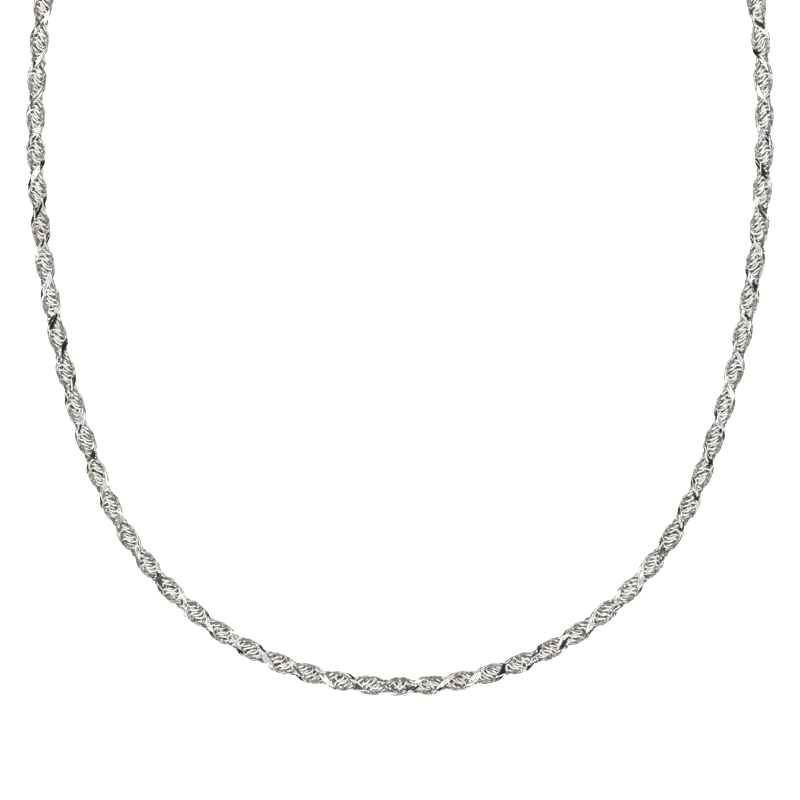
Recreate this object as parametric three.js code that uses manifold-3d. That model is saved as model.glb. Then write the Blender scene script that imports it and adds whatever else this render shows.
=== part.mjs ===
// Chain necklace: a diamond-cut rope chain laid flat and unfastened in a long U, with a lobster clasp
// on one end and a catch ring on the other. Millimetres, +Z up. The chain lies in the XY plane, the
// front of the necklace is its low-Y end, and both arms run away from it towards +Y.
import * as THREE from "three";
import { mergeVertices } from "three/addons/utils/BufferGeometryUtils.js";
import Module from "manifold-3d";

const wasm = await Module();
wasm.setup();

// Rope chain
const CHAIN_WIDTH = 3.0; // across the links where they spread
const CHAIN_WAIST = 1.6; // across the links where they stand edge-on
const CHAIN_HEIGHT = 2.7; // between the flats cut on the top and on the underside
const LINK_BLUNTNESS = 0.7; // power of the oval's cosine and sine: 1 is an ellipse, 0 a rectangle
const ARM_LENGTH = 215; // half of the rope, from the front centre to one end cap
const ARM_SEGMENTS = 23; // flexing lengths in each arm, beside the one at the front centre
const FLEX_GAP = 0.24; // between two neighbouring lengths, on the centreline
const FLEX_CONE = THREE.MathUtils.degToRad(12); // lean of each end face, so that two of them can turn
const BEAD_PITCH = 6.1; // from one swelling of the twisted links to the next, along the arms
const EXTRA_BEADS = 2.3; // more swellings than that pitch gives, gathered towards the front
const EXTRA_BEADS_REACH = 50; // how far from the front they thin out

// Curve of the chain on its centreline, the same on both sides
const FRONT_RADIUS = 51.4;
const FRONT_ARC = 62.3; // from the front centre to where the curve opens out
const SIDE_RADIUS = 159.6;
const SIDE_ARC = 79.7;

// End caps
const CAP_RADIUS = 1.65;
const CAP_BORE_RADIUS = 1.1;
const CAP_DEPTH = 2.6; // of the mouth that takes the end of the rope
const CAP_LENGTH = 3.9;
const CAP_SHOULDER = 0.7; // length in which the cup narrows to its neck
const CAP_FLOOR = 1.0; // solid metal between the mouth and the neck
const CAP_EDGE = 0.15; // chamfer round the mouth
const NECK_RADIUS = 0.55;
const NECK_LENGTH = 0.75;
const TAIL_RADIUS = 0.75; // of the rope's end inside the cap
const TAIL_TAPER = 0.2; // length in which the rope narrows to it
const EYE_RADIUS = 1.15; // ring radius of the eye on a cap or on the clasp
const EYE_WIRE = 0.4;
const CAP_EYE_X = 3.0; // from the rope's end to the middle of the cap's eye

// Jump rings, which stand on edge
const JUMP_RADIUS = 2.0;
const JUMP_WIRE = 0.35;

// Catch ring
const CATCH_RADIUS = 2.6;
const CATCH_WIRE = 0.45;
const CATCH_NEAR_HEIGHT = 1.55; // of its near wire, which leans on the jump ring
const CATCH_PLAY = 0.17; // between the two rings' wires

// Lobster clasp, in its own frame: origin at the middle of its eye, +X towards the tip
const CLASP_THICKNESS = 2.6;
const CLASP_BEVEL = 0.2;
const CLASP_EYE_WIRE = 0.45;
const SLOT_LENGTH = 4;
const SLOT_DEPTH = 3;
const SLOT_HEIGHT = 1.4;
const SLOT_CENTRE = new THREE.Vector2(4.85, -1.6);
const LEVER_THICKNESS = 0.9;
const LEVER_BEVEL = 0.12;
const LEVER_HEEL_RADIUS = 0.8;
const LEVER_PIVOT = new THREE.Vector2(4.3, -1.25);
const PIN_RADIUS = 0.34;
const PIN_RECESS = 0.05; // of each pin end below the clasp's face
const PIN_HOLE_RADIUS = 0.5;
const SPRING_RADIUS = 1.25;
const SPRING_STRIP = 0.22;
const SPRING_WIDTH = 0.8;
const SPRING_START = 1.75; // angles about the pin between which the leaf is bowed
const SPRING_END = 3.1;

const SILVER = { color: 0xb2b1ad, metalness: 1, roughness: 0.22 };

const centreHeight = CHAIN_HEIGHT / 2;
const segmentLength = ARM_LENGTH / (ARM_SEGMENTS + 0.5);
// Where a jump ring's wire crosses the height of the chain's centreline, from the ring's own middle.
const jumpRingHeight = JUMP_RADIUS + JUMP_WIRE;
const jumpHalfSpan = Math.sqrt(JUMP_RADIUS ** 2 - (jumpRingHeight - centreHeight) ** 2);

// ---------- solids ----------

function toSolid(geometry) {
  const bare = geometry.clone();
  bare.deleteAttribute("normal");
  bare.deleteAttribute("uv");
  const merged = mergeVertices(bare, 1e-4);
  return new wasm.Manifold(
    new wasm.Mesh({
      numProp: 3,
      vertProperties: merged.attributes.position.array,
      triVerts: new Uint32Array(merged.index.array),
    }),
  );
}

function toGeometry(solid) {
  const mesh = solid.getMesh();
  const geometry = new THREE.BufferGeometry();
  geometry.setAttribute("position", new THREE.BufferAttribute(mesh.vertProperties, 3));
  geometry.setIndex(new THREE.BufferAttribute(mesh.triVerts, 1));
  return geometry;
}

function namedMesh(name, geometry, finish = SILVER) {
  geometry.computeVertexNormals();
  const mesh = new THREE.Mesh(geometry, new THREE.MeshStandardMaterial(finish));
  mesh.name = name;
  return mesh;
}

// A slab between two heights, wide enough to trim any piece to them.
function slab(low, high) {
  const side = 2 * ARM_LENGTH;
  const box = new THREE.BoxGeometry(side, side, high - low);
  return toSolid(box.translate(0, 0, (low + high) / 2));
}

// An upright cylinder about the lever's pivot, centred on the clasp's mid-height.
function pivotCylinder(radius, length) {
  const upright = new THREE.CylinderGeometry(radius, radius, length, 16);
  return upright.rotateX(Math.PI / 2).translate(LEVER_PIVOT.x, LEVER_PIVOT.y, 0);
}

// A flat outline with equal thickness above and below it, its edges rounded by one chamfer.
function plate(outline, thickness, bevel) {
  const raised = new THREE.ExtrudeGeometry(outline, {
    depth: thickness - 2 * bevel,
    bevelEnabled: bevel > 0,
    bevelThickness: bevel,
    bevelSize: bevel,
    bevelOffset: -bevel,
    bevelSegments: 1,
    curveSegments: 6,
  });
  return raised.translate(0, 0, bevel - thickness / 2);
}

// ---------- the chain's curve ----------

// Point and heading on the +X arm, a distance along it from the front centre.
function armCentre(distance) {
  const frontTurn = Math.min(distance, FRONT_ARC) / FRONT_RADIUS;
  const sideTurn = THREE.MathUtils.clamp(distance - FRONT_ARC, 0, SIDE_ARC) / SIDE_RADIUS;
  const heading = frontTurn + sideTurn;
  const straight = Math.max(0, distance - FRONT_ARC - SIDE_ARC);
  const x =
    FRONT_RADIUS * Math.sin(frontTurn) +
    SIDE_RADIUS * (Math.sin(heading) - Math.sin(frontTurn)) +
    straight * Math.cos(heading);
  const y =
    FRONT_RADIUS * (1 - Math.cos(frontTurn)) +
    SIDE_RADIUS * (Math.cos(frontTurn) - Math.cos(heading)) +
    straight * Math.sin(heading);
  return { x, y, heading };
}

// Turn of the twisted links about the chain's own line: half a turn for each swelling.
function twistAt(distance) {
  const extra = EXTRA_BEADS * (1 - Math.exp(-distance / EXTRA_BEADS_REACH));
  return Math.PI * (distance / BEAD_PITCH + extra);
}

// The chain's frame at a signed distance, positive on the +X arm: its centre, the direction out of
// the U, and the turn of the links, measured from that direction towards +Z. The two arms mirror
// each other, so the twist is left-handed on the +X arm and right-handed on the -X arm.
function chainFrame(signedDistance) {
  const side = signedDistance < 0 ? -1 : 1;
  const { x, y, heading } = armCentre(Math.abs(signedDistance));
  return {
    centre: new THREE.Vector3(side * x, y, centreHeight),
    outward: new THREE.Vector3(side * Math.sin(heading), -Math.cos(heading), 0),
    twist: twistAt(Math.abs(signedDistance)),
    heading: side > 0 ? heading : -heading,
  };
}

// ---------- rope lengths ----------

// A point on the blunt oval that two neighbouring links fill, from its middle: x is across the
// chain where the links spread, and y where they stand edge-on.
function linkOutline(angle) {
  const blunt = (value) => Math.sign(value) * Math.abs(value) ** LINK_BLUNTNESS;
  const x = (CHAIN_WIDTH / 2) * blunt(Math.cos(angle));
  const y = (CHAIN_WAIST / 2) * blunt(Math.sin(angle));
  return new THREE.Vector2(x, y);
}

// One length of rope between two signed distances, trimmed by the flats above and below. With a
// tail, its far end narrows for the end cap.
function ropeLength(start, end, tail) {
  const sides = 10;
  const steps = 7;
  const low = start + FLEX_GAP / 2;
  const high = end - FLEX_GAP / 2;
  const lean = (CHAIN_WIDTH / 2) * Math.tan(FLEX_CONE);
  const stations = [{ at: low, size: 0 }];
  const bodyLow = tail === "low" ? low + CAP_DEPTH : low + lean;
  const bodyHigh = tail === "high" ? high - CAP_DEPTH : high - lean;
  if (tail === "low") stations.push({ at: low, size: 0, tail: true });
  if (tail === "low") stations.push({ at: bodyLow - TAIL_TAPER, size: 0, tail: true });
  for (let i = 0; i < steps; i++) {
    stations.push({ at: THREE.MathUtils.lerp(bodyLow, bodyHigh, i / (steps - 1)), size: 1 });
  }
  if (tail === "high") stations.push({ at: bodyHigh + TAIL_TAPER, size: 0, tail: true });
  if (tail === "high") stations.push({ at: high, size: 0, tail: true });
  stations.push({ at: high, size: 0 });

  // The lathe gives the closed net of faces, and each of its points is then put on the chain.
  const profile = stations.map((_, i) => {
    const onAxis = i === 0 || i === stations.length - 1;
    return new THREE.Vector2(onAxis ? 0 : 1, i);
  });
  const net = new THREE.LatheGeometry(profile, sides);
  const points = net.attributes.position;
  const up = new THREE.Vector3(0, 0, 1);
  for (let i = 0; i < points.count; i++) {
    const station = stations[i % stations.length];
    const column = Math.floor(i / stations.length) % sides;
    const around = (-2 * Math.PI * column) / sides;
    const { centre, outward, twist } = chainFrame(station.at);
    const across = station.tail
      ? new THREE.Vector2(TAIL_RADIUS, 0).rotateAround(new THREE.Vector2(), around)
      : linkOutline(around).multiplyScalar(station.size).rotateAround(new THREE.Vector2(), twist);
    const point = centre.clone().addScaledVector(outward, across.x).addScaledVector(up, across.y);
    points.setXYZ(i, point.x, point.y, point.z);
  }
  return toGeometry(toSolid(net).intersect(slab(0, CHAIN_HEIGHT)));
}

// Puts a mesh's own origin at the hinge it turns on, leaving the mesh where it is.
function hangFrom(mesh, hinge) {
  mesh.geometry.translate(-hinge.x, -hinge.y, -hinge.z);
  mesh.position.copy(hinge);
  return mesh;
}

function rope() {
  const group = new THREE.Group();
  const half = segmentLength / 2;
  group.add(namedMesh("rope_front", ropeLength(-half, half)));
  for (const [arm, side] of [
    ["left", -1],
    ["right", 1],
  ]) {
    for (let i = 1; i <= ARM_SEGMENTS; i++) {
      const near = half + (i - 1) * segmentLength;
      const far = near + segmentLength;
      const isLast = i === ARM_SEGMENTS;
      const geometry =
        side > 0
          ? ropeLength(near, far, isLast && "high")
          : ropeLength(-far, -near, isLast && "low");
      const mesh = namedMesh(`rope_${arm}_${String(i).padStart(2, "0")}`, geometry);
      group.add(hangFrom(mesh, chainFrame(side * near).centre));
    }
  }
  return group;
}

// ---------- hardware, each in a frame with +X along the chain, away from its end ----------

// A flat ring lying in the XY plane.
function ring(radius, wire, around = 20, across = 8) {
  return new THREE.TorusGeometry(radius, wire, across, around);
}

// A cup that takes the rope's end, a short neck, and an eye, with flats like the chain's.
function endCap() {
  const neckX = CAP_LENGTH - CAP_DEPTH;
  const profile = [
    [0, neckX - CAP_FLOOR],
    [CAP_BORE_RADIUS, neckX - CAP_FLOOR],
    [CAP_BORE_RADIUS, -CAP_DEPTH],
    [CAP_RADIUS - CAP_EDGE, -CAP_DEPTH],
    [CAP_RADIUS, -CAP_DEPTH + CAP_EDGE],
    [CAP_RADIUS, neckX - CAP_SHOULDER],
    [0.7 * CAP_RADIUS, neckX - CAP_EDGE],
    [NECK_RADIUS, neckX],
    [NECK_RADIUS, neckX + NECK_LENGTH],
    [0, neckX + NECK_LENGTH],
  ].map(([r, x]) => new THREE.Vector2(r, x));
  const cup = new THREE.LatheGeometry(profile, 20);
  cup.rotateZ(-Math.PI / 2);
  const eye = ring(EYE_RADIUS, EYE_WIRE).translate(CAP_EYE_X, 0, 0);
  const joined = toSolid(cup).add(toSolid(eye));
  return toGeometry(joined.intersect(slab(-centreHeight, centreHeight)));
}

// A jump ring on edge, its near wire through the eye at the frame's origin.
function jumpRing() {
  const upright = ring(JUMP_RADIUS, JUMP_WIRE).rotateX(Math.PI / 2);
  return upright.translate(jumpHalfSpan, 0, jumpRingHeight - centreHeight);
}

// The catch ring leans on the jump ring's lower wire and rests on its own far side.
function catchRing() {
  const nearHeight = CATCH_NEAR_HEIGHT - centreHeight;
  const farHeight = CATCH_WIRE - centreHeight;
  const lean = Math.asin((nearHeight - farHeight) / (2 * CATCH_RADIUS));
  return ring(CATCH_RADIUS, CATCH_WIRE, 24)
    .translate(CATCH_RADIUS, 0, 0)
    .rotateY(lean)
    .translate(0, 0, nearHeight);
}

// The claw from above: the fixed hook runs round the +Y side to its point on the -Y side.
function claspOutline() {
  const outline = new THREE.Shape();
  outline.moveTo(1.2, 0.75);
  outline.bezierCurveTo(2.4, 0.9, 2.6, 2.2, 4.2, 2.5);
  outline.bezierCurveTo(6.4, 2.95, 8.9, 2.9, 10.3, 1.7);
  outline.bezierCurveTo(11.6, 0.6, 11.6, -1.0, 10.5, -1.9);
  outline.quadraticCurveTo(10.0, -2.35, 9.3, -2.3);
  outline.lineTo(9.1, -1.2);
  outline.bezierCurveTo(9.9, -0.9, 9.9, 0.4, 9.1, 0.9);
  outline.bezierCurveTo(8.1, 1.6, 6.6, 1.4, 6.0, 0.9);
  outline.quadraticCurveTo(5.6, 0.5, 5.6, -0.2);
  outline.lineTo(5.6, -2.2);
  outline.bezierCurveTo(4.2, -2.7, 2.4, -2.2, 1.2, -0.75);
  outline.closePath();
  return outline;
}

function claspBody() {
  const claw = plate(claspOutline(), CLASP_THICKNESS, CLASP_BEVEL);
  const eye = ring(EYE_RADIUS, CLASP_EYE_WIRE);
  const slot = new THREE.BoxGeometry(SLOT_LENGTH, SLOT_DEPTH, SLOT_HEIGHT);
  slot.translate(SLOT_CENTRE.x, SLOT_CENTRE.y, 0);
  const pinHole = pivotCylinder(PIN_HOLE_RADIUS, 2 * CLASP_THICKNESS);
  const joined = toSolid(claw).add(toSolid(eye));
  return toGeometry(joined.subtract(toSolid(slot)).subtract(toSolid(pinHole)));
}

// The gate: a heel round the pin, an arm that shuts the hook's mouth, and a thumb tab outside.
function claspLever() {
  const { x, y } = LEVER_PIVOT;
  const outline = new THREE.Shape();
  outline.moveTo(x + 0.55, y + 0.6);
  outline.quadraticCurveTo(x + 2.4, y + 0.15, 8.75, y + 0.05);
  outline.lineTo(8.95, y - 0.95);
  outline.quadraticCurveTo(7.6, y - 1.25, 6.4, y - 1.1);
  outline.quadraticCurveTo(5.6, y - 1.1, 5.1, y - 1.9);
  outline.quadraticCurveTo(4.5, y - 2.6, 3.7, y - 2.2);
  outline.quadraticCurveTo(3.2, y - 1.8, 3.6, y - 1.2);
  outline.lineTo(x - LEVER_HEEL_RADIUS, y);
  outline.absarc(x, y, LEVER_HEEL_RADIUS, Math.PI, Math.PI / 4, true);
  outline.closePath();
  const arm = plate(outline, LEVER_THICKNESS, LEVER_BEVEL);
  const hole = pivotCylinder(PIN_HOLE_RADIUS, 2 * LEVER_THICKNESS);
  return toGeometry(toSolid(arm).subtract(toSolid(hole)));
}

function claspPin() {
  return pivotCylinder(PIN_RADIUS, CLASP_THICKNESS - 2 * PIN_RECESS);
}

// A bowed leaf that wraps the lever's heel, between it and the blind end of the slot.
function claspSpring() {
  const strip = new THREE.Shape();
  const { x, y } = LEVER_PIVOT;
  strip.absarc(x, y, SPRING_RADIUS, SPRING_START, SPRING_END, false);
  strip.absarc(x, y, SPRING_RADIUS - SPRING_STRIP, SPRING_END, SPRING_START, true);
  strip.closePath();
  return plate(strip, SPRING_WIDTH, 0);
}

// A piece hung in a group whose own origin is the hinge the piece turns on.
function hinged(parent, name, x, y, z) {
  const group = new THREE.Group();
  group.position.set(x, y, z);
  group.name = name;
  parent.add(group);
  return group;
}

// The frame at the end of an arm, with +X along the chain.
function armEnd(side) {
  const { centre, heading } = chainFrame(side * ARM_LENGTH);
  const group = new THREE.Group();
  group.position.copy(centre);
  group.rotation.z = side > 0 ? heading : Math.PI + heading;
  return group;
}

function claspEnd() {
  const end = armEnd(-1);
  end.add(namedMesh("left_end_cap", endCap()));
  const swing = hinged(end, "clasp_ring_swing", CAP_EYE_X, 0, 0);
  swing.add(namedMesh("clasp_jump_ring", jumpRing()));
  const clasp = hinged(swing, "clasp_swing", 2 * jumpHalfSpan, 0, CLASP_THICKNESS / 2 - centreHeight);
  clasp.add(namedMesh("clasp_body", claspBody()));
  clasp.add(namedMesh("clasp_lever", claspLever()));
  clasp.add(namedMesh("clasp_pin", claspPin()));
  clasp.add(namedMesh("clasp_spring", claspSpring()));
  return end;
}

function catchEnd() {
  const end = armEnd(1);
  end.add(namedMesh("right_end_cap", endCap()));
  const swing = hinged(end, "catch_ring_swing", CAP_EYE_X, 0, 0);
  swing.add(namedMesh("catch_jump_ring", jumpRing()));
  const nearWire = 2 * jumpHalfSpan - JUMP_WIRE - CATCH_WIRE - CATCH_PLAY;
  const lift = hinged(swing, "catch_ring_lift", nearWire, 0, 0);
  lift.add(namedMesh("catch_ring", catchRing()));
  return end;
}

// ---------- the necklace ----------

const necklace = new THREE.Group();
necklace.add(rope());
necklace.add(claspEnd());
necklace.add(catchEnd());

// The origin goes to the middle of the bottom face of the whole necklace's box.
necklace.updateMatrixWorld(true);
const box = new THREE.Box3().setFromObject(necklace, true);
const middle = box.getCenter(new THREE.Vector3());
necklace.position.set(-middle.x, -middle.y, -box.min.z);

export default necklace;
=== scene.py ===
"""Looks of the chain necklace: a diamond-cut silver rope chain lying open in a long U.

The rope is made of 1,260 separate ring links, placed one by one along the CAD's centreline. They
follow a formula and aren't truly threaded: neighbouring links run into each other. Lengths below are
in millimetres and become metres where a mesh is made.
"""

import math

import bpy
import numpy as np
from mathutils import Matrix, Vector


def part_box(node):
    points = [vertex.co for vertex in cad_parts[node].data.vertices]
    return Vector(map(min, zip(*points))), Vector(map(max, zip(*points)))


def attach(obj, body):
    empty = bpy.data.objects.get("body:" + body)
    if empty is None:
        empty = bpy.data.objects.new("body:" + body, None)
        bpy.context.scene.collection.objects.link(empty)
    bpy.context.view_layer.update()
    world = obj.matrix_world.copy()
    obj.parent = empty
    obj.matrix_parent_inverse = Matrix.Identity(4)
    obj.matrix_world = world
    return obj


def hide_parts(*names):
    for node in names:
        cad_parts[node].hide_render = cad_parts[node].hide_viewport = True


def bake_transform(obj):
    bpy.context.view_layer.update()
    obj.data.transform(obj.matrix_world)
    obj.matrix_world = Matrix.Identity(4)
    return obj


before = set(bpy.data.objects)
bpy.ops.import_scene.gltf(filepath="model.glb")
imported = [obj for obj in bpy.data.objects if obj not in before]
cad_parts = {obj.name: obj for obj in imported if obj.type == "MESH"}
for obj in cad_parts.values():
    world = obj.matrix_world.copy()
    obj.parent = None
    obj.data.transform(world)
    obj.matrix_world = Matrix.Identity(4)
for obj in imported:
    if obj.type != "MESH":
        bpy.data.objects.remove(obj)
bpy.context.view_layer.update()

MM = 0.001
RANDOM = np.random.default_rng(7)

# ---------- the chain's driving dimensions, as in the CAD ----------

CHAIN_WIDTH = 3.0
CHAIN_HEIGHT = 2.7
ARM_LENGTH = 215.0
ARM_SEGMENTS = 23
BEAD_PITCH = 6.1
EXTRA_BEADS = 2.3
EXTRA_BEADS_REACH = 50.0
FRONT_RADIUS, FRONT_ARC = 51.4, 62.3
SIDE_RADIUS, SIDE_ARC = 159.6, 79.7
CAP_RADIUS = 1.65
CAP_BORE_RADIUS = 1.1
CAP_DEPTH = 2.6
CAP_LENGTH = 3.9
EYE_RADIUS, EYE_WIRE = 1.15, 0.4
CAP_EYE_X = 3.0
JUMP_RADIUS, JUMP_WIRE = 2.0, 0.35
CATCH_RADIUS, CATCH_WIRE = 2.6, 0.45
CATCH_NEAR_HEIGHT = 1.55
CATCH_PLAY = 0.17
CLASP_THICKNESS = 2.6
LEVER_PIVOT = (4.3, -1.25)
PIN_RADIUS = 0.34

CENTRE_HEIGHT = CHAIN_HEIGHT / 2
SEGMENT = ARM_LENGTH / (ARM_SEGMENTS + 0.5)
FRONT_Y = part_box("rope_front")[0].y / MM + CHAIN_WIDTH / 2  # of the centreline at the front
JUMP_HEIGHT = JUMP_RADIUS + JUMP_WIRE
JUMP_HALF_SPAN = math.sqrt(JUMP_RADIUS**2 - (JUMP_HEIGHT - CENTRE_HEIGHT) ** 2)

# ---------- one ring link ----------

WIRE = 0.38  # thickness of the links' wire
LINK_PITCH = 0.339  # along the chain from one link to the next
LINK_OFFSET = 0.40  # of a link's middle from the chain's line
LINK_ACROSS = 1.08  # half-size of a link on its wire's centreline, across the chain
LINK_ALONG = 1.8  # and along the chain
LINK_FAN = math.radians(8)  # turn of every other pair of links ahead of and behind the twist
LINK_TILT = math.radians(58)  # between a link's axis and the chain's
LINK_SKEW = math.radians(78)  # from a link's middle to the direction it leans in
LINK_SPREAD = math.radians(3.5)  # links settle a little unevenly
STRAND_WIDENING = 1.1  # of the links across each strand, which gives the narrow places their width
LAST_LINK_GAP = 1.2  # least distance of a link's middle from the end of its arm
POINTS_ROUND_LINK = 36
POINTS_ROUND_WIRE = 10

# The diamond cut: directions round the chain from straight up, and how far out each flat lies.
CORNER_CUT = 1.55
CUT_DIRECTIONS = [
    (0, CENTRE_HEIGHT),
    (40, CORNER_CUT),
    (90, CHAIN_WIDTH / 2),
    (140, CORNER_CUT),
    (180, CENTRE_HEIGHT),
    (220, CORNER_CUT),
    (270, CHAIN_WIDTH / 2),
    (320, CORNER_CUT),
]
CUT_WOBBLE = math.radians(4.0)  # the flats' tilt differs from swelling to swelling
STRAIGHT_CUTS = (90, 180, 270)  # but these keep to the chain's width and to the surface under it
LEAST_WIRE = 0.12  # that a cut leaves; a link further out gives way inwards
CURVE_REACH = ARM_LENGTH + 15.0  # distances along an arm for which the twist is looked up

CREVICE_RADIUS = 1.1  # painted shade, with some tarnish, darkens the links from here in towards the chain's line
CREVICE_FADE = 0.8  # and is darkest this much further in
GATHER_START = 1.0  # before a cap's mouth, where the rope starts to narrow
GATHER_LENGTH = 0.9  # over which it narrows
GATHERED = 0.62  # of its width, which is left then


def new_object(name, points, faces, materials):
    """A mesh object from points in millimetres."""
    mesh = bpy.data.meshes.new(name)
    mesh.from_pydata((np.asarray(points) * MM).tolist(), [], list(map(tuple, faces)))
    for material in materials:
        mesh.materials.append(material)
    made = bpy.data.objects.new(name, mesh)
    bpy.context.scene.collection.objects.link(made)
    mesh.polygons.foreach_set("use_smooth", [True] * len(mesh.polygons))
    return made


# ---------- the chain's curve ----------


def arm_centre(distance):
    """Points and headings on the +X arm, at distances along it from the front centre."""
    distance = np.asarray(distance, float)
    front_turn = np.minimum(distance, FRONT_ARC) / FRONT_RADIUS
    side_turn = np.clip(distance - FRONT_ARC, 0, SIDE_ARC) / SIDE_RADIUS
    heading = front_turn + side_turn
    straight = np.maximum(0, distance - FRONT_ARC - SIDE_ARC)
    x = FRONT_RADIUS * np.sin(front_turn) + SIDE_RADIUS * (np.sin(heading) - np.sin(front_turn))
    y = FRONT_RADIUS * (1 - np.cos(front_turn)) + SIDE_RADIUS * (np.cos(front_turn) - np.cos(heading))
    return x + straight * np.cos(heading), FRONT_Y + y + straight * np.sin(heading), heading


def twist_at(distance):
    """Turn of the links about the chain's line: half a turn for each swelling."""
    extra = EXTRA_BEADS * (1 - np.exp(-distance / EXTRA_BEADS_REACH))
    return math.pi * (distance / BEAD_PITCH + extra)


def on_chain(side, along, outward, up):
    """Puts points given beside a straight chain on to one arm's curve. side is -1 or 1."""
    x, y, heading = arm_centre(along)
    px = side * (x + outward * np.sin(heading))
    py = y - outward * np.cos(heading)
    return np.stack([px, py, CENTRE_HEIGHT + up], axis=-1)


# ---------- materials ----------


def node(tree, kind, **inputs):
    made = tree.nodes.new(kind)
    for name, value in inputs.items():
        made.inputs[name.replace("_", " ")].default_value = value
    return made


CLOUD_SCALE = 0.1  # of the tarnish against the grain
CLOUD_LOW, CLOUD_HIGH = 0.25, 0.6  # noise levels between which the tarnish clears
GLOSS_LOW, GLOSS_HIGH = 0.6, 1.5  # of a metal's own roughness, from grain to grain
GRAIN_HEIGHT = 0.01


def silver(name, colour, shade, roughness, grain_scale, bump, crevice_shade_and_tarnish=None):
    """Polished silver: faint clouds of tarnish, fine wear in its gloss, and crevices darkened by
    painted shade with some tarnish.
    """
    material = bpy.data.materials.new(name)
    material.use_nodes = True
    tree = material.node_tree
    shader = tree.nodes["Principled BSDF"]
    shader.inputs["Metallic"].default_value = 1.0
    coordinates = node(tree, "ShaderNodeTexCoord")
    clouds = node(tree, "ShaderNodeTexNoise", Scale=grain_scale * CLOUD_SCALE, Detail=3.0)
    tree.links.new(coordinates.outputs["Object"], clouds.inputs["Vector"])
    tint = node(tree, "ShaderNodeMix")
    tint.data_type = "RGBA"
    tint.inputs["A"].default_value = (*shade, 1)
    tint.inputs["B"].default_value = (*colour, 1)
    spread = node(tree, "ShaderNodeMapRange")
    spread.inputs["From Min"].default_value = CLOUD_LOW
    spread.inputs["From Max"].default_value = CLOUD_HIGH
    tree.links.new(clouds.outputs["Fac"], spread.inputs["Value"])
    tree.links.new(spread.outputs["Result"], tint.inputs["Factor"])
    base = tint.outputs["Result"]
    # Painted shade, with some tarnish: the links' colour darkens towards the chain's line, where their
    # hollows lie in shade.
    if crevice_shade_and_tarnish:
        depth = node(tree, "ShaderNodeAttribute")
        depth.attribute_name = "depth"
        dark = node(tree, "ShaderNodeMix")
        dark.data_type = "RGBA"
        dark.inputs["B"].default_value = (*crevice_shade_and_tarnish, 1)
        tree.links.new(depth.outputs["Fac"], dark.inputs["Factor"])
        tree.links.new(base, dark.inputs["A"])
        base = dark.outputs["Result"]
    tree.links.new(base, shader.inputs["Base Color"])
    grain = node(tree, "ShaderNodeTexNoise", Scale=grain_scale, Detail=4.0)
    tree.links.new(coordinates.outputs["Object"], grain.inputs["Vector"])
    gloss = node(tree, "ShaderNodeMapRange")
    gloss.inputs["To Min"].default_value = roughness * GLOSS_LOW
    gloss.inputs["To Max"].default_value = roughness * GLOSS_HIGH
    tree.links.new(grain.outputs["Fac"], gloss.inputs["Value"])
    tree.links.new(gloss.outputs["Result"], shader.inputs["Roughness"])
    relief = node(tree, "ShaderNodeBump", Strength=bump, Distance=GRAIN_HEIGHT * MM)
    tree.links.new(grain.outputs["Fac"], relief.inputs["Height"])
    tree.links.new(relief.outputs["Normal"], shader.inputs["Normal"])
    return material


link_silver = silver(
    "link_silver",
    colour=(0.86, 0.85, 0.83),
    shade=(0.74, 0.72, 0.69),
    roughness=0.13,
    grain_scale=3000.0,
    bump=0.2,
    # the colour of the painted crevice shade, with some tarnish
    crevice_shade_and_tarnish=(0.33, 0.312, 0.292),
)
facet_silver = silver(
    "facet_silver",
    colour=(0.93, 0.92, 0.91),
    shade=(0.85, 0.84, 0.82),
    roughness=0.07,
    grain_scale=6000.0,
    bump=0.12,
)
fitting_silver = silver(
    "fitting_silver",
    colour=(0.76, 0.75, 0.74),
    shade=(0.64, 0.63, 0.61),
    roughness=0.22,
    grain_scale=2500.0,
    bump=0.25,
)
cast_silver = silver(
    "cast_silver",
    colour=(0.68, 0.67, 0.66),
    shade=(0.52, 0.51, 0.495),
    roughness=0.3,
    grain_scale=1800.0,
    bump=0.5,
)
spring_steel = silver(
    "spring_steel",
    colour=(0.55, 0.55, 0.57),
    shade=(0.42, 0.42, 0.44),
    roughness=0.3,
    grain_scale=4000.0,
    bump=0.4,
)

# ---------- the rope's links ----------


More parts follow.
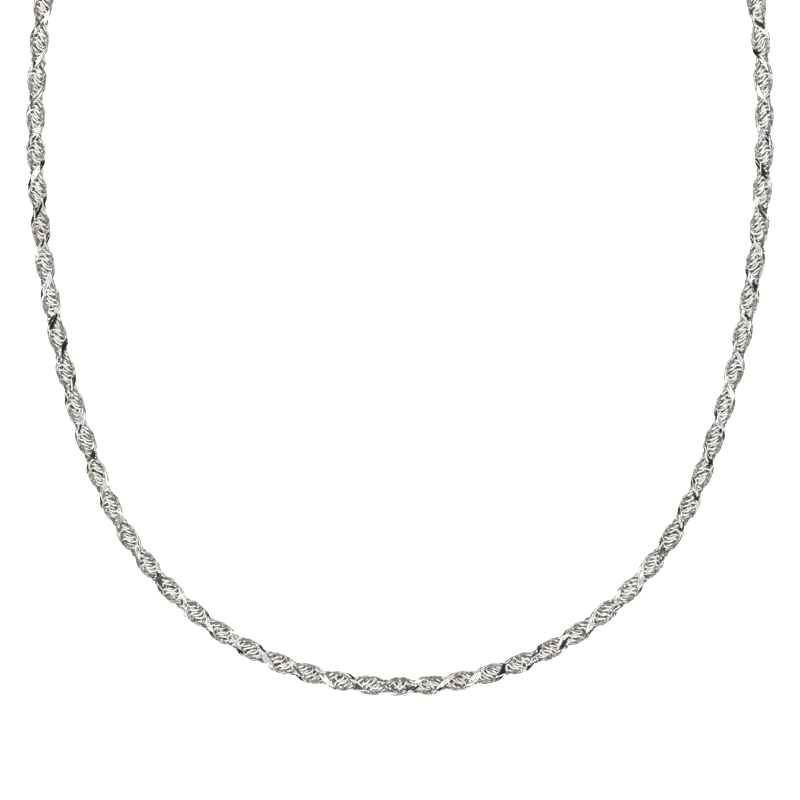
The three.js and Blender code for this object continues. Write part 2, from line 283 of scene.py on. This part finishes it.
def link_points(places):
    """The links at these distances along an arm, as an array of points: by link, round the link,
    round the wire, and then along the chain, out of the U, and up."""
    number = np.round(places / LINK_PITCH - 0.5)
    fan = np.where(number % 4 < 2, LINK_FAN, -LINK_FAN)
    turn = twist_at(places) + math.pi * number + fan
    tilt = LINK_TILT + RANDOM.normal(0, LINK_SPREAD, len(places))
    lean = turn - LINK_SKEW + RANDOM.normal(0, LINK_SPREAD, len(places))
    # x is along the chain, y out of the U, z up; turn runs from y towards z.
    axis = np.stack([np.cos(tilt), np.sin(tilt) * np.cos(lean), np.sin(tilt) * np.sin(lean)], -1)
    along = np.array([1.0, 0.0, 0.0])
    across = np.cross(along, axis)
    across /= np.linalg.norm(across, axis=1)[:, None]
    length = np.cross(axis, across)
    centre = np.stack([places, LINK_OFFSET * np.cos(turn), LINK_OFFSET * np.sin(turn)], -1)

    link_turn = np.linspace(0, 2 * math.pi, POINTS_ROUND_LINK, endpoint=False)[None, :, None]
    wire_turn = np.linspace(0, 2 * math.pi, POINTS_ROUND_WIRE, endpoint=False)[None, None, :, None]
    across, length = across[:, None, :], length[:, None, :]
    path = LINK_ACROSS * np.cos(link_turn) * across + LINK_ALONG * np.sin(link_turn) * length
    out = LINK_ALONG * np.cos(link_turn) * across + LINK_ACROSS * np.sin(link_turn) * length
    out /= np.linalg.norm(out, axis=-1)[..., None]
    middle = (centre[:, None, :] + path)[:, :, None, :]
    wire = np.cos(wire_turn) * out[:, :, None, :] + np.sin(wire_turn) * axis[:, None, None, :]
    points = middle + WIRE / 2 * wire

    # Widened square to the strand's own turn, along the whole link.
    turn = twist_at(points[..., 0])
    lobe = np.stack([np.cos(turn), np.sin(turn)], -1)
    side = np.stack([-np.sin(turn), np.cos(turn)], -1)
    yz = points[..., 1:]
    square = (yz * side).sum(-1, keepdims=True) * side
    points[..., 1:] = (yz * lobe).sum(-1, keepdims=True) * lobe + STRAND_WIDENING * square
    return points


def diamond_cut(points, places):
    """Presses the links flat where the cutter has passed. Returns the points and, for each point,
    the number of the flat it lies on, or -1."""
    flat = np.full(points.shape[:3], -1)
    bead = np.floor(twist_at(places) / math.pi + 0.5).astype(int)
    distances = np.arange(0, CURVE_REACH)
    bead_middle = np.interp(bead * math.pi, twist_at(distances), distances)
    for number, (degrees, distance) in enumerate(CUT_DIRECTIONS):
        wobble = RANDOM.normal(0, CUT_WOBBLE, (int(bead.max()) + 2, 2))
        if degrees in STRAIGHT_CUTS:
            wobble *= 0
        angle = math.radians(degrees) + wobble[bead, 0]
        swing = wobble[bead, 1]
        normal = np.stack(
            [np.sin(swing), np.cos(swing) * np.sin(angle), np.cos(swing) * np.cos(angle)], -1
        )
        anchor = np.stack([bead_middle, distance * np.sin(angle), distance * np.cos(angle)], -1)
        depth = np.einsum("lijk,lk->lij", points - anchor[:, None, None, :], normal)
        given = np.maximum(0, depth.min(axis=2, keepdims=True) + LEAST_WIRE)
        cut = depth > given
        points = points - np.where(cut, depth, given)[..., None] * normal[:, None, None, :]
        flat[cut] = number
    return points, flat


def cap_squeeze(points):
    """Gathers the rope's end into the mouth of its end cap."""
    mouth = ARM_LENGTH - CAP_DEPTH
    into = np.clip((points[..., 0] - (mouth - GATHER_START)) / GATHER_LENGTH, 0, 1)
    into = into * into * (3 - 2 * into)
    scale = 1 - into * (1 - GATHERED)
    points[..., 1] *= scale
    points[..., 2] *= scale
    return points


def rope_piece(name, side, places):
    """One length of links, as one mesh."""
    points = link_points(places)
    points, flat = diamond_cut(points, places)
    # How far the painted crevice shade, with some tarnish, darkens each point, deeper in towards the
    # chain's line.
    radius = np.hypot(points[..., 1], points[..., 2])
    crevice_shade_and_tarnish_amount = np.clip((CREVICE_RADIUS - radius) / CREVICE_FADE, 0, 1)
    points = cap_squeeze(points)
    placed = on_chain(side, points[..., 0], points[..., 1], points[..., 2]).reshape(-1, 3)

    i, j = np.meshgrid(np.arange(POINTS_ROUND_LINK), np.arange(POINTS_ROUND_WIRE), indexing="ij")
    next_i, next_j = (i + 1) % POINTS_ROUND_LINK, (j + 1) % POINTS_ROUND_WIRE
    corners = [(i, j), (next_i, j), (next_i, next_j), (i, next_j)]
    if side > 0:
        corners.reverse()
    quads = np.stack([a * POINTS_ROUND_WIRE + b for a, b in corners], -1).reshape(-1, 4)
    starts = np.arange(len(places))[:, None, None] * POINTS_ROUND_LINK * POINTS_ROUND_WIRE
    quads = (quads[None] + starts).reshape(-1, 4)
    made = new_object(name, placed, quads, [link_silver, facet_silver])
    numbers = flat.reshape(-1)[quads]
    is_flat = (numbers[:, 0] >= 0) & (numbers == numbers[:, :1]).all(axis=1)
    made.data.polygons.foreach_set("use_smooth", ~is_flat)
    made.data.polygons.foreach_set("material_index", is_flat.astype(np.int32))
    depth = made.data.attributes.new("depth", "FLOAT", "POINT")
    depth.data.foreach_set("value", crevice_shade_and_tarnish_amount.reshape(-1).astype(np.float32))
    return made


for arm, side in (("left", -1), ("right", 1)):
    last = f"rope_{arm}_{ARM_SEGMENTS:02d}"
    all_places = (np.arange(int((ARM_LENGTH - LAST_LINK_GAP) / LINK_PITCH)) + 0.5) * LINK_PITCH
    for number in range(1, ARM_SEGMENTS + 2):
        low, high = (number - 1) * SEGMENT, number * SEGMENT
        places = all_places[(all_places >= low) & (all_places < high)]
        piece = rope_piece(f"links_{arm}_{number:02d}", side, places)
        if number > ARM_SEGMENTS:
            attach(piece, last)
            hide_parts(last)
            continue
        body = f"rope_{arm}_{number:02d}"
        parent = "rope_front" if number == 1 else f"rope_{arm}_{number - 1:02d}"
        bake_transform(piece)
        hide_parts(parent, body)

# ---------- fittings, each in a frame with +X along the chain, away from its end ----------


def end_frame(side):
    x, y, heading = arm_centre(ARM_LENGTH)
    arm_end = Matrix.Translation((side * x * MM, y * MM, CENTRE_HEIGHT * MM))
    turn = heading if side > 0 else math.pi - heading
    return arm_end @ Matrix.Rotation(turn, 4, "Z")


def torus(radius, wire, around=72, across=20, gap=0.0):
    """A ring in the XY plane. With a gap, in radians, it is cut open there, at its +X side."""
    turns = np.linspace(gap / 2, 2 * math.pi - gap / 2, around, endpoint=gap > 0)
    rolls = np.linspace(0, 2 * math.pi, across, endpoint=False)
    turn, roll = np.meshgrid(turns, rolls, indexing="ij")
    reach = radius + wire * np.cos(roll)
    points = np.stack([reach * np.cos(turn), reach * np.sin(turn), wire * np.sin(roll)], -1)
    points = points.reshape(-1, 3)
    faces = []
    for i in range(around if gap == 0 else around - 1):
        start, next_start = i * across, (i + 1) % around * across
        for j in range(across):
            k = (j + 1) % across
            faces.append((start + j, next_start + j, next_start + k, start + k))
    if gap > 0:
        faces.append(tuple(range(across)))
        faces.append(tuple((around - 1) * across + j for j in reversed(range(across))))
    return points, faces


def lathe(profile, around=64):
    """A closed solid turned about +X from a list of (radius, x) points that ends on the axis."""
    ring_of = [(r, x) for r, x in profile if r > 0]
    points = [(profile[0][1], 0.0, 0.0), (profile[-1][1], 0.0, 0.0)]
    for r, x in ring_of:
        for k in range(around):
            angle = 2 * math.pi * k / around
            points.append((x, r * math.cos(angle), r * math.sin(angle)))
    faces = []
    last_ring = 2 + (len(ring_of) - 1) * around
    for k in range(around):
        n = (k + 1) % around
        faces.append((0, 2 + n, 2 + k))
        faces.append((1, last_ring + k, last_ring + n))
        for s in range(len(ring_of) - 1):
            a, b = 2 + s * around, 2 + (s + 1) * around
            faces.append((a + k, a + n, b + n, b + k))
    return np.array(points), faces


def joined(*parts):
    points, faces, start = [], [], 0
    for part_points, part_faces in parts:
        points.append(part_points)
        faces += [tuple(start + v for v in face) for face in part_faces]
        start += len(part_points)
    return np.concatenate(points), faces


def moved(part, matrix):
    points, faces = part
    values = np.array(matrix)
    return points @ values[:3, :3].T + values[:3, 3], faces


def finish_cast(made, voxel, smoothing):
    """Turns overlapping shells into one skin with soft edges, as cast and tumbled metal has."""
    remesh = made.modifiers.new("remesh", "REMESH")
    remesh.mode = "VOXEL"
    remesh.voxel_size = voxel * MM
    remesh.use_smooth_shade = True
    smooth = made.modifiers.new("smooth", "SMOOTH")
    smooth.factor = 0.5
    smooth.iterations = smoothing
    graph = bpy.context.evaluated_depsgraph_get()
    mesh = bpy.data.meshes.new_from_object(made.evaluated_get(graph))
    made.modifiers.clear()
    made.data = mesh
    mesh.polygons.foreach_set("use_smooth", [True] * len(mesh.polygons))
    return made


def place(made, matrix, body, slot, *nodes):
    """Moves a piece to its place, on its body, where it replaces CAD nodes."""
    made.data.transform(matrix)
    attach(made, body)
    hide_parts(*nodes)
    return made


def cast_copy(name, source, body, voxel, smoothing):
    """A finely finished copy of a CAD node, in the same place."""
    made = bpy.data.objects.new(name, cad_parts[source].data.copy())
    bpy.context.scene.collection.objects.link(made)
    made.data.materials.clear()
    made.data.materials.append(cast_silver)
    finish_cast(made, voxel, smoothing)
    place(made, Matrix.Identity(4), body, "clasp_silver", source)


CAP_FLOOR = 1.0
CAP_EDGE = 0.12
GROOVE_DEPTH = 0.13
NECK_RADIUS, NECK_LENGTH = 0.55, 0.75


def end_cap(name, arm, side):
    """A cup with a groove turned near its mouth, a rounded shoulder, a neck and an eye."""
    neck = CAP_LENGTH - CAP_DEPTH
    groove_radius = CAP_RADIUS - GROOVE_DEPTH
    profile = [
        # the bore
        (0, neck - CAP_FLOOR),
        (CAP_BORE_RADIUS, neck - CAP_FLOOR),
        (CAP_BORE_RADIUS, -CAP_DEPTH),
        # the mouth's edge and the groove
        (CAP_RADIUS - CAP_EDGE, -CAP_DEPTH),
        (CAP_RADIUS, -CAP_DEPTH + CAP_EDGE),
        (CAP_RADIUS, -CAP_DEPTH + 0.45),
        (groove_radius, -CAP_DEPTH + 0.6),
        (groove_radius, -CAP_DEPTH + 0.75),
        (CAP_RADIUS, -CAP_DEPTH + 0.9),
        # the shoulder and the neck
        (CAP_RADIUS, neck - 0.75),
        (CAP_RADIUS - 0.15, neck - 0.4),
        (CAP_RADIUS - 0.55, neck - 0.1),
        (NECK_RADIUS, neck + 0.1),
        (NECK_RADIUS, neck + NECK_LENGTH),
        (0, neck + NECK_LENGTH),
    ]
    eye = moved(torus(EYE_RADIUS, EYE_WIRE), Matrix.Translation((CAP_EYE_X, 0, 0)))
    points, faces = joined(lathe(profile), eye)
    points[:, 2] = np.clip(points[:, 2], -CENTRE_HEIGHT, CENTRE_HEIGHT)  # flat, as in the CAD
    made = finish_cast(new_object(name, points, faces, [fitting_silver]), voxel=0.05, smoothing=4)
    place(made, end_frame(side), f"rope_{arm}_{ARM_SEGMENTS:02d}", "fitting_silver", f"{arm}_end_cap")


RING_CUT_TURN = math.radians(-70)
RING_CUT_WIDTH = 0.03  # as an angle at the ring's middle


def jump_ring(name, side, body, cad_node):
    """Stands on edge. Its cut is a hair's breadth wide, near the top."""
    cut = Matrix.Rotation(RING_CUT_TURN, 4, "Y")
    upright = cut @ Matrix.Rotation(math.pi / 2, 4, "X")
    lift = Matrix.Translation((CAP_EYE_X + JUMP_HALF_SPAN, 0, JUMP_HEIGHT - CENTRE_HEIGHT))
    points, faces = moved(torus(JUMP_RADIUS, JUMP_WIRE, gap=RING_CUT_WIDTH), lift @ upright)
    made = new_object(name, points, faces, [fitting_silver])
    place(made, end_frame(side), body, "fitting_silver", cad_node)


def catch_ring(name):
    """Leans from its near wire, held up by the jump ring, down to the surface at its far side."""
    near = CATCH_NEAR_HEIGHT - CENTRE_HEIGHT
    lean = math.asin((near - CATCH_WIRE + CENTRE_HEIGHT) / (2 * CATCH_RADIUS))
    start = CAP_EYE_X + 2 * JUMP_HALF_SPAN - JUMP_WIRE - CATCH_WIRE - CATCH_PLAY
    matrix = (
        Matrix.Translation((start, 0, near))
        @ Matrix.Rotation(lean, 4, "Y")
        @ Matrix.Translation((CATCH_RADIUS, 0, 0))
    )
    points, faces = moved(torus(CATCH_RADIUS, CATCH_WIRE), matrix)
    made = new_object(name, points, faces, [fitting_silver])
    place(made, end_frame(1), "catch", "fitting_silver", "catch_ring")


RIVET_RECESS = 0.1  # from the clasp's face in to the edge of the rivet's head
RIVET_DOME = 0.08  # height of the head


def clasp_pin(name):
    """A rivet with a low domed head at each end."""
    half = CLASP_THICKNESS / 2 - RIVET_RECESS
    angles = np.linspace(0, 1.4, 6)  # short of a quarter turn, where the last point closes the dome
    dome = [(PIN_RADIUS * math.cos(angle), half + RIVET_DOME * math.sin(angle)) for angle in angles]
    profile = [(0, -half - RIVET_DOME)]
    profile += [(r, -x) for r, x in reversed(dome)]
    profile += dome
    profile += [(0, half + RIVET_DOME)]
    upright = Matrix.Rotation(-math.pi / 2, 4, "Y")
    x = CAP_EYE_X + 2 * JUMP_HALF_SPAN + LEVER_PIVOT[0]
    lift = Matrix.Translation((x, LEVER_PIVOT[1], CLASP_THICKNESS / 2 - CENTRE_HEIGHT))
    points, faces = moved(lathe(profile, 40), lift @ upright)
    made = new_object(name, points, faces, [fitting_silver])
    place(made, end_frame(-1), "clasp", "clasp_silver", "clasp_pin")


end_cap("left_cap", "left", -1)
end_cap("right_cap", "right", 1)
jump_ring("clasp_side_ring", -1, "clasp_link", "clasp_jump_ring")
jump_ring("catch_side_ring", 1, "catch_link", "catch_jump_ring")
catch_ring("catch_ring_wire")
cast_copy("clasp_claw", "clasp_body", "clasp", voxel=0.07, smoothing=12)
cast_copy("clasp_gate_lever", "clasp_lever", "clasp_gate", voxel=0.05, smoothing=5)
clasp_pin("clasp_rivet")

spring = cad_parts["clasp_spring"]
spring.data.materials.clear()
spring.data.materials.append(spring_steel)

# ---------- studio ----------

VIEW_WIDTH = 128.0  # across the picture, at the chain's mid-height
VIEW_ABOVE_FRONT = 45.84  # of the picture's middle from the front of the chain's line
LENS = 120.0
SENSOR = 36.0

camera = bpy.data.objects.new("camera", bpy.data.cameras.new("camera"))
bpy.context.scene.collection.objects.link(camera)
camera.data.lens = LENS
camera.data.sensor_width = SENSOR
away = VIEW_WIDTH * LENS / SENSOR
camera.location = Vector((0, FRONT_Y + VIEW_ABOVE_FRONT, CENTRE_HEIGHT + away)) * MM
camera.data.clip_start = 10 * MM
bpy.context.scene.camera = camera
bpy.context.scene.view_settings.view_transform = "Standard"


def glowing_paint(name, level, glow):
    """Matt paint, grey at this level, that also gives light of its own."""
    paint = bpy.data.materials.new(name)
    paint.use_nodes = True
    shader = paint.node_tree.nodes["Principled BSDF"]
    shader.inputs["Base Color"].default_value = (level, level, level, 1)
    shader.inputs["Roughness"].default_value = 0.8
    shader.inputs["Specular IOR Level"].default_value = 0.0
    shader.inputs["Emission Color"].default_value = (1, 1, 1, 1)
    shader.inputs["Emission Strength"].default_value = glow
    return paint


# A white floor, and a white wall that closes the view behind it. Neither shows in the silver, which
# mirrors only the studio's lights.
FLOOR_HALF, FLOOR_DROP = 3000.0, 0.02
WALL_RADIUS, WALL_FOOT, WALL_HEIGHT, WALL_SIDES = 2500.0, -1.0, 3000.0, 64

floor = new_object(
    "floor",
    [(x * FLOOR_HALF, y * FLOOR_HALF, -FLOOR_DROP) for x, y in ((-1, -1), (1, -1), (1, 1), (-1, 1))],
    [(0, 1, 2, 3)],
    [glowing_paint("floor_paint", level=0.93, glow=0.7)],
)
turns = np.linspace(0, 2 * math.pi, WALL_SIDES, endpoint=False)
wall_foot = [(WALL_RADIUS * math.cos(turn), WALL_RADIUS * math.sin(turn), WALL_FOOT) for turn in turns]
wall_top = [(x, y, WALL_HEIGHT) for x, y, _ in wall_foot]
wall_faces = []
for corner in range(WALL_SIDES):
    following = (corner + 1) % WALL_SIDES
    wall_faces.append((corner, corner + WALL_SIDES, following + WALL_SIDES, following))
wall_paint = glowing_paint("wall_paint", level=0.0, glow=1.0)
wall = new_object("wall", wall_foot + wall_top, wall_faces, [wall_paint])
for stage_piece in (floor, wall):
    stage_piece.visible_glossy = False
wall.visible_diffuse = False
wall.visible_shadow = False

# The light in the studio, as heights and levels from straight down to straight up: the pale table, a
# dark gap under the edge of a white tent, and the tent.
SKY_STRENGTH = 1.65
SKY_STOPS = [
    (-1.0, 0.60),
    (-0.40, 0.55),
    (-0.15, 0.02),
    (0.34, 0.02),
    (0.48, 0.9),
    (0.9, 1.0),
    (0.97, 0.70),
    (0.992, 0.45),
]
# Small dark openings in the tent's top, in which a tilted flat looks black: the direction of each and
# its half-angle in degrees.
OPENINGS = [((0.22, 0.08, 0.97), 8.5), ((-0.1, 0.24, 0.97), 8.5), ((-0.16, -0.2, 0.96), 7.5)]
OPENING_LEVEL = 0.03
OPENING_EDGE = 2  # degrees over which an opening's edge fades
WARMTH = 0.985  # of the light's blue against its red and green

world = bpy.data.worlds.new("studio")
bpy.context.scene.world = world
world.use_nodes = True
sky = world.node_tree
background = sky.nodes["Background"]
background.inputs["Strength"].default_value = SKY_STRENGTH
direction = sky.nodes.new("ShaderNodeTexCoord")
split = sky.nodes.new("ShaderNodeSeparateXYZ")
height = node(sky, "ShaderNodeMapRange")
height.inputs["From Min"].default_value = -1.0
ramp = sky.nodes.new("ShaderNodeValToRGB")
sky.links.new(direction.outputs["Generated"], split.inputs[0])
sky.links.new(split.outputs["Z"], height.inputs["Value"])
sky.links.new(height.outputs["Result"], ramp.inputs[0])
stops = ramp.color_ramp.elements
for _ in SKY_STOPS[2:]:
    stops.new(0.5)
for stop, (up, level) in zip(stops, SKY_STOPS):
    stop.position = (up + 1) / 2
    stop.color = (level, level, level * WARMTH, 1)
light = ramp.outputs["Color"]
for towards, half_angle in OPENINGS:
    facing = node(sky, "ShaderNodeVectorMath")
    facing.operation = "DOT_PRODUCT"
    facing.inputs[1].default_value = Vector(towards).normalized()
    sky.links.new(direction.outputs["Generated"], facing.inputs[0])
    edge = node(sky, "ShaderNodeMapRange")
    edge.inputs["From Min"].default_value = math.cos(math.radians(half_angle + OPENING_EDGE))
    edge.inputs["From Max"].default_value = math.cos(math.radians(half_angle))
    edge.inputs["To Min"].default_value = 1.0
    edge.inputs["To Max"].default_value = OPENING_LEVEL
    sky.links.new(facing.outputs["Value"], edge.inputs["Value"])
    shut = node(sky, "ShaderNodeVectorMath")
    shut.operation = "SCALE"
    sky.links.new(light, shut.inputs[0])
    sky.links.new(edge.outputs["Result"], shut.inputs["Scale"])
    light = shut.outputs["Vector"]
sky.links.new(light, background.inputs["Color"])
